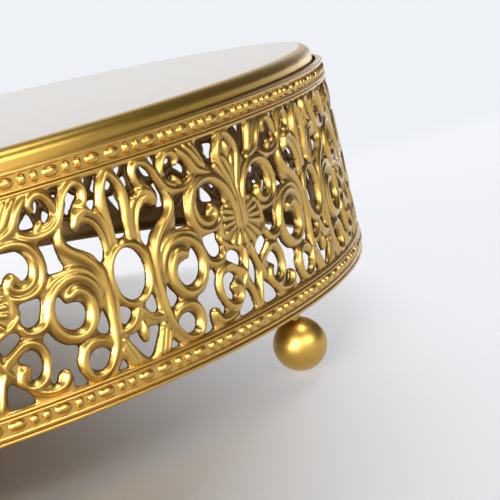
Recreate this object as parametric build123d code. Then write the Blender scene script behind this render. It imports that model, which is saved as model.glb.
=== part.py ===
from build123d import *
from math import cos, radians, sin
import os

# Round cake stand: a flat top with a rolled rim, carried by a hoop of pierced,
# stamped banding on three ball feet. Millimetres, +Z up, origin on the table
# under the centre.

# ---- Overall ---------------------------------------------------------------
band_radius = 150.0        # crest of the banding's ridges
band_height = 52.6         # width of the stamped strip, standing on edge
plate_rise = 4.2           # cake surface above the top edge of the banding

# ---- Stamped banding ---------------------------------------------------------
sheet = 1.0                # thickness of the strip
relief = 0.8               # height of the ridges above the strip's face
ridge_width = 1.3
repeats = 13               # full repeats of the ornament round the hoop
lower_border = 5.2         # plain and beaded strip under the openwork
upper_border = 5.4         # the same above it
ridge_inset = 0.65         # first ridge's crest from each border's openwork edge
top_ridge_inset = 0.7      # top ridge's crest below the upper edge
first_repeat_deg = 23.5    # an oval's axis, measured from -Y towards +X

# ---- Top disc and rolled rim -----------------------------------------------------
top_wall = 1.0             # thickness of the disc and of the rim
rim_gap = 0.9              # open ring between the rim's skirt and the banding
shoulder = 2.8             # outside radius between the top and the skirt
skirt_height = 9.6
lip_thickness = 0.8        # outward lip at the skirt's foot, seated in the banding
seat_clear = 0.05
seam_width = 0.3           # open butt joint where the rim's ends meet
seam_deg = 57.5            # measured from -Y towards +X

# ---- Base ring, feet and studs -------------------------------------------------
ring_thickness = 0.8
ring_width = 10.0
ring_proud = 0.35          # the ring's edge beyond the strip's face
foot_diameter = 13.0
foot_gap = 1.1             # bare stud between a ball and the ring
foot_count = 3
first_foot_deg = 43.2      # measured from -Y towards +X
foot_inset = 1.6           # stud's centre inside the back of the banding
stud_diameter = 3.0
stud_depth = 6.0           # how far a stud enters its ball
stud_clear = 0.05          # radial, before it is brazed

# ---- Levels and radii that follow ----------------------------------------------
face_radius = band_radius - relief
back_radius = face_radius - sheet
ring_bottom = foot_diameter + foot_gap
band_bottom = ring_bottom + ring_thickness
band_top = band_bottom + band_height
open_bottom = band_bottom + lower_border
open_top = band_top - upper_border
plate_top = band_top + plate_rise
skirt_bottom = plate_top - skirt_height
skirt_radius = back_radius - rim_gap
disc_radius = skirt_radius - shoulder
foot_circle = back_radius - foot_inset
half_angle = 180.0 / repeats                    # from an oval's axis to a shell's
half_arc = face_radius * radians(half_angle)

# ---- Openings of the ornament ----------------------------------------------------
# Drawn on a flat half repeat that runs from an oval's axis (0) to a shell's
# axis. The other half is its mirror image. These are the strands that the
# outlines leave beside the shell's axis and under and over the openwork.
shell_strand = 1.95
low_strand, high_strand = 0.2, 0.5

oval_centre, oval_half_width, oval_half_height = 25.1, 4.1, 5.6

ON_OVAL_AXIS = [
    # gap between the two lance leaves that stand on the oval
    [(0, 32.9), (1.25, 33.3), (1.35, 36), (1.6, 39.5), (1.6, 42), (1.1, 44), (0, 45.4)],
    # gap round the drop that hangs under the oval
    [(0, 6.5), (1.2, 7.2), (2.9, 9.6), (4.2, 11.9), (4, 12.6), (2.6, 12.7), (1.6, 12.9),
     (1.3, 11.6), (0.7, 10.3), (0, 9.9)],
]
ON_SHELL_AXIS = [
    # diamond between the crossed stems, as distances from the shell's axis
    [(0, 11.4), (0.6, 12), (1.5, 14.6), (0.9, 17.3), (0, 18.4)],
]
BETWEEN_AXES = [
    # beside the lance leaf
    [(2.3, 47.1), (4.2, 47.4), (6, 47.1), (5.7, 45.2), (5.9, 43.4), (6.3, 41.6), (5.3, 40.5),
     (4.4, 41.3), (4, 42.9), (3.2, 45.2)],
    # crook of the tall stem, round the tip of the acanthus leaf
    [(8.1, 44.4), (8.2, 45.6), (9.1, 46), (10.3, 45.3), (11.3, 43.9), (12, 42), (12.8, 40),
     (13.4, 38), (13.2, 36), (11.9, 34.4), (9.7, 33), (7.9, 31.6), (6.3, 29.4), (5.4, 30),
     (4.9, 31.8), (5, 34), (6, 36.6), (7.4, 37.9), (9, 37.9), (10.4, 37.1), (11.3, 37.9),
     (11, 39.8), (10.3, 41.6), (9.5, 42.8)],
    # peak between two scrolls under the upper border
    [(11.9, 47.2), (13.1, 47.4), (14.3, 47.1), (13.8, 45.9), (13.2, 45.1), (12.5, 45.8)],
    # inside the snail scroll
    [(15.4, 42), (15.2, 43.3), (16, 45.1), (17.3, 45.8), (18.2, 45.3), (18.4, 44), (19.3, 43.6),
     (20.4, 44.7), (21.4, 44.4), (22.2, 42.7), (22.4, 41.2), (21.2, 40.4), (19.8, 40.4),
     (18.8, 41.5), (17.7, 41.8), (16.7, 40.9)],
    # vee beside the shell's fleur
    [(27, 47.1), (30, 47.5), (33.2, 47.1), (32.6, 45.4), (31.5, 43.3), (31.1, 41.4),
     (30.2, 40.7), (29.1, 41.4), (27.9, 43.5)],
    # window between the tall stem and the volute
    [(16.2, 37.3), (17.8, 37.6), (19.4, 37.3), (18.9, 34.8), (18.7, 32.4), (18.8, 30.7),
     (17, 30.4), (15, 30.7), (15.5, 32.8), (15.9, 35.2)],
    # inside the volute
    [(22.5, 33.8), (23.4, 36.1), (25.2, 37.4), (27.6, 37.7), (29.9, 36.5), (31.4, 34.4),
     (31.6, 32.4), (30.4, 31.3), (29.2, 31.5), (28.2, 32.8), (26.7, 33.3), (25.6, 32.2),
     (24.7, 31), (23.3, 31.6)],
    # inside the great scroll
    [(12.5, 21), (13.2, 22.8), (15, 23.5), (16.6, 23.7), (17.4, 25.1), (18.2, 25.6),
     (19.3, 23.6), (19.4, 21.3), (18.2, 19), (15.9, 17.9), (13.8, 18.4)],
    # beside the shell
    [(22.1, 26.4), (24.5, 26.7), (26.9, 26.4), (26.8, 24.9), (27.3, 23.2), (26.6, 21.8),
     (25.3, 21.4), (23.6, 22), (22.5, 23.9)],
    # under the shell
    [(28.1, 19.9), (28.6, 21.1), (29.8, 21.5), (31.7, 21), (33.1, 19.8), (33, 18.2),
     (32.2, 17.4), (30.6, 18.1), (29.1, 19.1)],
    # above the hook of the drop
    [(1.8, 17.5), (3, 18.7), (4.5, 19.2), (5, 17.6), (4.9, 15.8), (4, 15.2), (2.6, 16)],
    # sliver between the stem and the great scroll
    [(8.8, 20), (9.8, 18.5), (11.1, 16.3), (10.3, 15.3), (8.7, 14.8), (8.1, 15.7), (8.1, 17.8)],
    # inside the small ring at the stem's foot
    [(9.3, 11), (10.3, 12.1), (12.1, 12.6), (13.8, 12), (14.6, 10.5), (14.2, 8.8), (12.7, 8),
     (11.1, 8.4), (9.9, 9.7)],
    # corner between the fan and the stem
    [(5.9, 6.5), (6.4, 7.9), (7.1, 8.3), (8, 7.3), (8.5, 6.6), (7.2, 6.3)],
    # wide gap over the little hook
    [(16.1, 6.5), (17.3, 9.3), (17.4, 11.4), (16.3, 14.4), (19, 15.6), (20.9, 17.3),
     (22.1, 19.2), (23.1, 19.1), (23.7, 18), (22.9, 15.6), (22.9, 13), (23.7, 11), (24.3, 9.6),
     (23.6, 8.7), (22.9, 8.8), (22.1, 10.2), (20.9, 10.9), (19.6, 10.5), (19.1, 8.8),
     (19.2, 6.8), (17.7, 6.3)],
    # inside the lower curl
    [(24.9, 13.7), (25.3, 15.7), (26.6, 16.9), (28.5, 16.8), (29.9, 15.6), (29, 14.7),
     (28, 14.2), (27.6, 13.1), (28.1, 11.8), (27.7, 10.9), (26.3, 11.2), (25.3, 12.3)],
    # triangle between the crossed stems and the lower border
    [(28.4, 6.7), (29, 8.3), (30.9, 10.2), (32.7, 11.7), (33.5, 10.9), (34.2, 8.6), (34.3, 6.8),
     (32.6, 6.3), (30.2, 6.2)],
]

drawn_half = max(s for outline in BETWEEN_AXES for s, z in outline) + shell_strand
drawn_low = min(z for outline in BETWEEN_AXES for s, z in outline) - low_strand
drawn_high = max(z for outline in BETWEEN_AXES for s, z in outline) + high_strand
across = half_arc / drawn_half
upward = (open_top - open_bottom) / (drawn_high - drawn_low)


def height(z):
    """Height above the table of a drawn height."""
    return open_bottom + (z - drawn_low) * upward


def turned(s):
    """Angle in degrees, from the oval's axis, of a drawn place along the strip."""
    return half_angle * s / drawn_half


def from_front(angle):
    """Angle from +X of a direction that is measured from -Y towards +X."""
    return angle - 90


def ring_of(outer, inner, low, high):
    """Flat-ended tube about Z."""
    tube = Cylinder(outer, high - low) - Cylinder(inner, high - low)
    return Pos(0, 0, (low + high) / 2) * tube


# ---- Banding: section of the strip ------------------------------------------------
envelope = Pos(back_radius, band_bottom) * Rectangle(
    sheet + relief, band_height, align=(Align.MIN, Align.MIN)
)
section = Pos(back_radius, band_bottom) * Rectangle(
    sheet, band_height, align=(Align.MIN, Align.MIN)
)
ridge_levels = [
    open_bottom - ridge_inset,
    open_top + ridge_inset,
    band_top - top_ridge_inset,
]
for level in ridge_levels:
    section += Pos(face_radius, level) * Ellipse(relief, ridge_width / 2) & envelope
half_repeat = revolve(Plane.XZ * section, Axis.Z, revolution_arc=half_angle)


# ---- Banding: openings that straddle an axis are punched through the half repeat -----
def mirrored(points):
    """A half outline and its mirror image, as one closed run of points."""
    return points + [(-s, z) for s, z in reversed(points) if s > 0]


def flat_outline(points):
    """Face inside a smooth closed curve through drawn points."""
    return make_face(Spline(*[(s * across, height(z)) for s, z in points], periodic=True))


def punch(axis_at, outline):
    """Prism that cuts outline square through the strip, at a drawn place."""
    facing = Plane.XZ.rotated((0, 0, 90 + turned(axis_at)))
    return facing * Pos(0, 0, back_radius - sheet) * extrude(outline, amount=3 * sheet + relief)


oval = Ellipse(oval_half_width * across, oval_half_height * upward)
punches = [punch(0, Pos(0, height(oval_centre)) * oval)]
punches += [punch(0, flat_outline(mirrored(half))) for half in ON_OVAL_AXIS]
punches += [punch(drawn_half, flat_outline(mirrored(half))) for half in ON_SHELL_AXIS]
half_repeat -= punches


# ---- Banding: the other openings are wires on both faces of the strip, joined by walls --
def curved_outline(points, radius):
    """Closed curve through drawn points, lying on the cylinder of that radius."""
    placed = []
    for s, z in points:
        angle = radians(turned(s))
        placed.append((radius * cos(angle), radius * sin(angle), height(z)))
    return Spline(*placed, periodic=True)


def openwork_face(faces, radius):
    """The face of the strip at that radius that carries the openwork."""
    round_faces = [f for f in faces if f.geom_type == GeomType.CYLINDER]
    return max((f for f in round_faces if abs(f.radius - radius) < 1e-6), key=lambda f: f.area)


def stands_on_axis(face):
    """Whether a face is an upright cut end of the half repeat."""
    return face.geom_type == GeomType.PLANE and abs(face.normal_at().Z) < 1e-6


skin = [f for f in half_repeat.faces() if not stands_on_axis(f)]
front = openwork_face(skin, face_radius)
back = openwork_face(skin, back_radius)
front_edges = [curved_outline(outline, face_radius) for outline in BETWEEN_AXES]
back_edges = [curved_outline(outline, back_radius) for outline in BETWEEN_AXES]
skin = [f for f in skin if f not in (front, back)]
skin.append(front.make_holes([Wire([edge]) for edge in front_edges]))
skin.append(back.make_holes([Wire([edge]) for edge in back_edges]))
skin += [Face.make_surface_from_curves(a, b) for a, b in zip(front_edges, back_edges)]

whole_repeat = skin + [mirror(face, Plane.XZ) for face in skin]
band_faces = []
for k in range(repeats):
    turn = from_front(first_repeat_deg) + 2 * half_angle * k
    band_faces += [face.rotate(Axis.Z, turn) for face in whole_repeat]
filigree_band = Solid(Shell(band_faces))

# ---- Top: a flat disc inside a rim rolled from strip, with its ends butted ------------
top_disc = Pos(0, 0, plate_top - top_wall / 2) * Cylinder(disc_radius, top_wall)

lip_radius = back_radius - seat_clear
inner_skirt = skirt_radius - top_wall
shoulder_bottom = plate_top - shoulder
with BuildSketch(Plane.XZ) as rim_section:
    with BuildLine():
        Line((disc_radius, plate_top - top_wall), (disc_radius, plate_top))
        CenterArc((disc_radius, shoulder_bottom), shoulder, 0, 90)
        Polyline(
            (skirt_radius, shoulder_bottom),
            (skirt_radius, skirt_bottom + lip_thickness),
            (lip_radius, skirt_bottom + lip_thickness),
            (lip_radius, skirt_bottom),
            (inner_skirt, skirt_bottom),
            (inner_skirt, shoulder_bottom),
        )
        CenterArc((disc_radius, shoulder_bottom), shoulder - top_wall, 0, 90)
    make_face()
seam_reach = disc_radius - top_wall
seam = Pos(seam_reach, 0, skirt_bottom - top_wall) * Box(
    lip_radius, seam_width, plate_top - skirt_bottom + 2 * top_wall,
    align=(Align.MIN, Align.CENTER, Align.MIN),
)
rim_strip = revolve(rim_section.sketch, Axis.Z) - Rot(0, 0, from_front(seam_deg)) * seam

# ---- Base ring under the banding, with a hole for each stud ---------------------------
ring_radius = face_radius + ring_proud
base_ring = ring_of(ring_radius, ring_radius - ring_width, ring_bottom, band_bottom)
stud_places = []
for k in range(foot_count):
    turn = Rot(0, 0, from_front(first_foot_deg) + 360 * k / foot_count)
    stud_places.append(turn * Pos(foot_circle, 0, 0))
    base_ring -= stud_places[k] * Pos(0, 0, (ring_bottom + band_bottom) / 2) * Cylinder(
        stud_diameter / 2 + stud_clear, 2 * ring_thickness
    )

# ---- Ball feet, each drilled from the top, and the studs that carry them ----------------
ball = Pos(0, 0, foot_diameter / 2) * Sphere(foot_diameter / 2)
ball -= Pos(0, 0, foot_diameter - stud_depth) * Cylinder(
    stud_diameter / 2 + stud_clear, 2 * stud_depth,
    align=(Align.CENTER, Align.CENTER, Align.MIN),
)
stud = Pos(0, 0, foot_diameter - stud_depth) * Cylinder(
    stud_diameter / 2, stud_depth + foot_gap + ring_thickness,
    align=(Align.CENTER, Align.CENTER, Align.MIN),
)
balls = [place * ball for place in stud_places]
foot_studs = Compound([place * stud for place in stud_places])

# ---- Files --------------------------------------------------------------------------------
nodes = {
    "filigree_band": filigree_band,
    "top_disc": top_disc,
    "rim_strip": rim_strip,
    "base_ring": base_ring,
    "foot_studs": foot_studs,
}
for k, placed_ball in enumerate(balls, start=1):
    nodes[f"foot_ball_{k}"] = placed_ball

os.makedirs("parts", exist_ok=True)
for name, shape in nodes.items():
    export_step(shape, f"parts/{name}.step")
    size = shape.bounding_box().size
    print(f"{name}: {size.X:.2f} x {size.Y:.2f} x {size.Z:.2f} mm, {shape.volume:.0f} mm3")
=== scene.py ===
# %% [markdown]
# # A round cake stand in gilt openwork
#
# A flat round top with a rolled edge sits in a hoop of stamped, pierced strip on
# three ball feet. The solids of the stand are loaded first, and every piece below
# is placed from their measured boxes, so nothing has to be fitted by eye.

# %% Load the solids
from math import atan2, cos, pi, radians, sin, sqrt, tau

import bpy
import numpy as np
from mathutils import Matrix, Vector


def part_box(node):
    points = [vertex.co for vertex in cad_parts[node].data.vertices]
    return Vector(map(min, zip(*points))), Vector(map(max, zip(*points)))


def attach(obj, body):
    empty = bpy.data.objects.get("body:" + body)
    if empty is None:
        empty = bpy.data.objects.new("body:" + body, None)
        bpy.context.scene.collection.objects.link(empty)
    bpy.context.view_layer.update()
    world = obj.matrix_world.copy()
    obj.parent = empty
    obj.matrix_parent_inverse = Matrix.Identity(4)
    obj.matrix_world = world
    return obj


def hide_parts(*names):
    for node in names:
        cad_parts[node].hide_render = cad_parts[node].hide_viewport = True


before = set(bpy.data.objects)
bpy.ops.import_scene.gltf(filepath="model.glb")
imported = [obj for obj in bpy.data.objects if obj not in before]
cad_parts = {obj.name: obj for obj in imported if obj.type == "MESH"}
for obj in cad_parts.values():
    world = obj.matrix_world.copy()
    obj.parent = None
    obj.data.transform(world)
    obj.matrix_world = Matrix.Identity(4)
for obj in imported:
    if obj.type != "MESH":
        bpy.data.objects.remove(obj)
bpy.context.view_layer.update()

# %% Read the main sizes from the solids
MM = 0.001
band_low, band_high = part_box("filigree_band")
ring_low, ring_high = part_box("base_ring")
rim_low, rim_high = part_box("rim_strip")
disc_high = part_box("top_disc")[1]

CREST = band_high[0]  # the banding's highest relief
BACK = CREST - 1.8 * MM  # its inner face, behind the borders
WEB = CREST - 1.45 * MM  # low ground between the strands
RING_FOOT = ring_low[2]  # heights in the strip are counted from here
TURNS = 13  # repeats of the ornament round the hoop
FIRST = radians(23.5)  # an oval's axis, from the front towards +X
HALF = pi / TURNS  # from an oval's axis to a shell's
DRAWN_HALF = 36.25  # the same on the flat drawing, in millimetres
print(f"strip {band_high[2] - band_low[2]:.4f} m wide, crest radius {CREST:.4f} m")

# %% [markdown]
# ## The camera
#
# A close view from just above table height with a long lens, tilted a little, so
# that the hoop climbs to the right and one ball foot shows under it. A small
# helper puts it into the scene, as it does everything else.

# %% Camera
def put(name, data):
    """An object of the given mesh, lamp or camera, put into the scene."""
    made = bpy.data.objects.new(name, data)
    bpy.context.collection.objects.link(made)
    return made


turn, dip, roll = 0.2628, -0.1730, -0.2338  # in radians
EYE = (0, -0.45505, 0.09465)
ahead = Vector((sin(turn) * cos(dip), cos(turn) * cos(dip), sin(dip)))
level = Vector((cos(turn), -sin(turn), 0))
over = level.cross(ahead)
right = level * cos(roll) + over * sin(roll)
above = over * cos(roll) - level * sin(roll)

camera_data = bpy.data.cameras.new("view")
camera_data.sensor_width = 36
camera_data.lens = 112.38
camera_data.clip_start = 0.01
camera = put("view", camera_data)
facing = Matrix((right, above, -ahead)).transposed().to_4x4()
camera.matrix_world = Matrix.Translation(EYE) @ facing
bpy.context.scene.camera = camera
print("camera looks along", [round(c, 3) for c in ahead])

# %% [markdown]
# ## Putting meshes together
#
# Everything here is round sheet metal, so one helper turns arrays of points and
# faces into a piece, and a second one spins a profile round the stand's axis, as
# a lathe or a rolling machine would. A profile runs with the metal on its left
# when it climbs, and sharp corners are marked by their angle so that the rolled
# parts stay smooth.

# %% Mesh helpers
NO_SHADE, FULL_SHADE = 0.3, 1.0  # marks for the painted shade: none, and full shade


def new_piece(name, points, faces):
    """A smooth piece in metres that rides with the stand."""
    mesh = bpy.data.meshes.new(name)
    mesh.from_pydata([tuple(p) for p in points], [], faces)
    mesh.validate()
    mesh.shade_smooth()
    piece = put(name, mesh)
    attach(piece, "root")
    return piece


def mark_painted_shade(mesh, marks):
    """Keep a number for the painted shade at each point of a mesh."""
    layer = mesh.attributes.new("painted_shade", "FLOAT", "POINT")
    layer.data.foreach_set("value", marks.astype(np.float32))


def lathe(name, profile, around=416, start=0.0, sweep=tau, crease=40, inside=0.0):
    """Spin a closed profile of (radius, height) points about the stand's axis.

    Points at the radius `inside` or nearer to the axis get full painted shade, a darker
    paint that stands in for shade. A sweep of less than a turn gets a flat end on either side.
    """
    whole = abs(sweep - tau) < 1e-9
    columns = around if whole else around + 1
    angles = start + sweep * np.arange(columns) / around
    flat = np.array(profile)
    points = np.stack([
        np.outer(np.sin(angles), flat[:, 0]).ravel(),
        np.outer(-np.cos(angles), flat[:, 0]).ravel(),
        np.tile(flat[:, 1], columns)], -1)
    n = len(flat)
    faces = []
    for c in range(around):
        a, b = c * n, ((c + 1) % columns) * n
        for k in range(n):
            m = (k + 1) % n
            faces.append((a + k, b + k, b + m, a + m))
    if not whole:
        faces.append(tuple(range(n)))
        faces.append(tuple(range((columns - 1) * n, columns * n))[::-1])
    piece = new_piece(name, points, faces)
    piece.data.set_sharp_from_angle(angle=radians(crease))
    mark_painted_shade(piece.data, np.tile(np.where(flat[:, 0] <= inside, FULL_SHADE, NO_SHADE), columns))
    print(name, len(piece.data.polygons), "faces")
    return piece


def arc(centre, radius, start, end, steps):
    """Points of a round corner in a profile, angles in degrees from outwards up."""
    turn_by = np.radians(np.linspace(start, end, steps + 1))
    return [(centre[0] + radius * cos(t), centre[1] + radius * sin(t)) for t in turn_by]


# %% [markdown]
# ## The ornament's drawing
#
# The real strip is stamped from thin sheet: a die raises rounded strands and
# leaves, and a second one punches out the ground between them. It repeats, and
# each repeat is its own mirror image, so half a repeat is drawn on the flat: an
# oval's axis on the left at 0, a shell's on the right at 36.25, heights in
# millimetres above the underside of the base ring. Openings are closed smooth
# curves through a few points. Strands are drawn as a chaser would draw them, by
# the line along their crest and their half width, which swells and tapers.

# %% Openings of the drawing
ON_OVAL_AXIS = [
    [(0, 32.9), (1.25, 33.3), (1.35, 36), (1.6, 39.5), (1.6, 42), (1.1, 44), (0, 45.4)],
    [(0, 6.5), (1.2, 7.2), (2.9, 9.6), (4.2, 11.9), (4, 12.6), (2.6, 12.7), (1.6, 12.9),
     (1.3, 11.6), (0.7, 10.3), (0, 9.9)],
]
ON_SHELL_AXIS = [[(0, 11.4), (0.6, 12), (1.5, 14.6), (0.9, 17.3), (0, 18.4)]]
BETWEEN_AXES = [
    [(1.8, 17.5), (3, 18.7), (4.5, 19.2), (5, 17.6), (4.9, 15.8), (4, 15.2), (2.6, 16)],
    [(5.9, 6.5), (6.4, 7.9), (7.1, 8.3), (8, 7.3), (8.5, 6.6), (7.2, 6.3)],
    [(8.8, 20), (9.8, 18.5), (11.1, 16.3), (10.3, 15.3), (8.7, 14.8), (8.1, 15.7), (8.1, 17.8)],
    [(9.3, 11), (10.3, 12.1), (12.1, 12.6), (13.8, 12), (14.6, 10.5), (14.2, 8.8), (12.7, 8),
     (11.1, 8.4), (9.9, 9.7)],
    [(12.5, 21), (13.2, 22.8), (15, 23.5), (16.6, 23.7), (17.4, 25.1), (18.2, 25.6),
     (19.3, 23.6), (19.4, 21.3), (18.2, 19), (15.9, 17.9), (13.8, 18.4)],
    [(16.1, 6.5), (17.3, 9.3), (17.4, 11.4), (16.3, 14.4), (19, 15.6), (20.9, 17.3),
     (22.1, 19.2), (23.1, 19.1), (23.7, 18), (22.9, 15.6), (22.9, 13), (23.7, 11),
     (24.3, 9.6), (23.6, 8.7), (22.9, 8.8), (22.1, 10.2), (20.9, 10.9), (19.6, 10.5),
     (19.1, 8.8), (19.2, 6.8), (17.7, 6.3)],
    [(16.2, 37.3), (17.8, 37.6), (19.4, 37.3), (18.9, 34.8), (18.7, 32.4), (18.8, 30.7),
     (17, 30.4), (15, 30.7), (15.5, 32.8), (15.9, 35.2)],
    [(11.9, 47.2), (13.1, 47.4), (14.3, 47.1), (13.8, 45.9), (13.2, 45.1), (12.5, 45.8)],
    [(15.4, 42), (15.2, 43.3), (16, 45.1), (17.3, 45.8), (18.2, 45.3), (18.4, 44),
     (19.3, 43.6), (20.4, 44.7), (21.4, 44.4), (22.2, 42.7), (22.4, 41.2), (21.2, 40.4),
     (19.8, 40.4), (18.8, 41.5), (17.7, 41.8), (16.7, 40.9)],
    [(27, 47.1), (30, 47.5), (33.2, 47.1), (32.6, 45.4), (31.5, 43.3), (31.1, 41.4),
     (30.2, 40.7), (29.1, 41.4), (27.9, 43.5)],
    [(22.5, 33.8), (23.4, 36.1), (25.2, 37.4), (27.6, 37.7), (29.9, 36.5), (31.4, 34.4),
     (31.6, 32.4), (30.4, 31.3), (29.2, 31.5), (28.2, 32.8), (26.7, 33.3), (25.6, 32.2),
     (24.7, 31), (23.3, 31.6)],
    [(22.1, 26.4), (24.5, 26.7), (26.9, 26.4), (26.8, 24.9), (27.3, 23.2), (26.6, 21.8),
     (25.3, 21.4), (23.6, 22), (22.5, 23.9)],
    [(28.1, 19.9), (28.6, 21.1), (29.8, 21.5), (31.7, 21), (33.1, 19.8), (33, 18.2),
     (32.2, 17.4), (30.6, 18.1), (29.1, 19.1)],
    [(24.9, 13.7), (25.3, 15.7), (26.6, 16.9), (28.5, 16.8), (29.9, 15.6), (29, 14.7),
     (28, 14.2), (27.6, 13.1), (28.1, 11.8), (27.7, 10.9), (26.3, 11.2), (25.3, 12.3)],
    [(28.4, 6.7), (29, 8.3), (30.9, 10.2), (32.7, 11.7), (33.5, 10.9), (34.2, 8.6),
     (34.3, 6.8), (32.6, 6.3), (30.2, 6.2)],
    [(2.3, 47.1), (4.2, 47.4), (6, 47.1), (5.7, 45.2), (5.9, 43.4), (6.3, 41.6),
     (5.3, 40.5), (4.4, 41.3), (4, 42.9), (3.2, 45.2)],
    [(8.1, 44.4), (8.2, 45.6), (9.1, 46), (10.3, 45.3), (11.3, 43.9), (12, 42), (12.8, 40),
     (13.4, 38), (13.2, 36), (11.9, 34.4), (9.7, 33), (7.9, 31.6), (6.3, 29.4), (5.4, 30),
     (4.9, 31.8), (5, 34), (6, 36.6), (7.4, 37.9), (9, 37.9), (10.4, 37.1), (11.3, 37.9),
     (11, 39.8), (10.3, 41.6), (9.5, 42.8)],
]
OVAL_MIDDLE, OVAL_HALF_WIDTH, OVAL_HALF_HEIGHT = 25.1, 4.1, 5.6
print(len(BETWEEN_AXES), "openings drawn between the axes of a half repeat")

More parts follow.
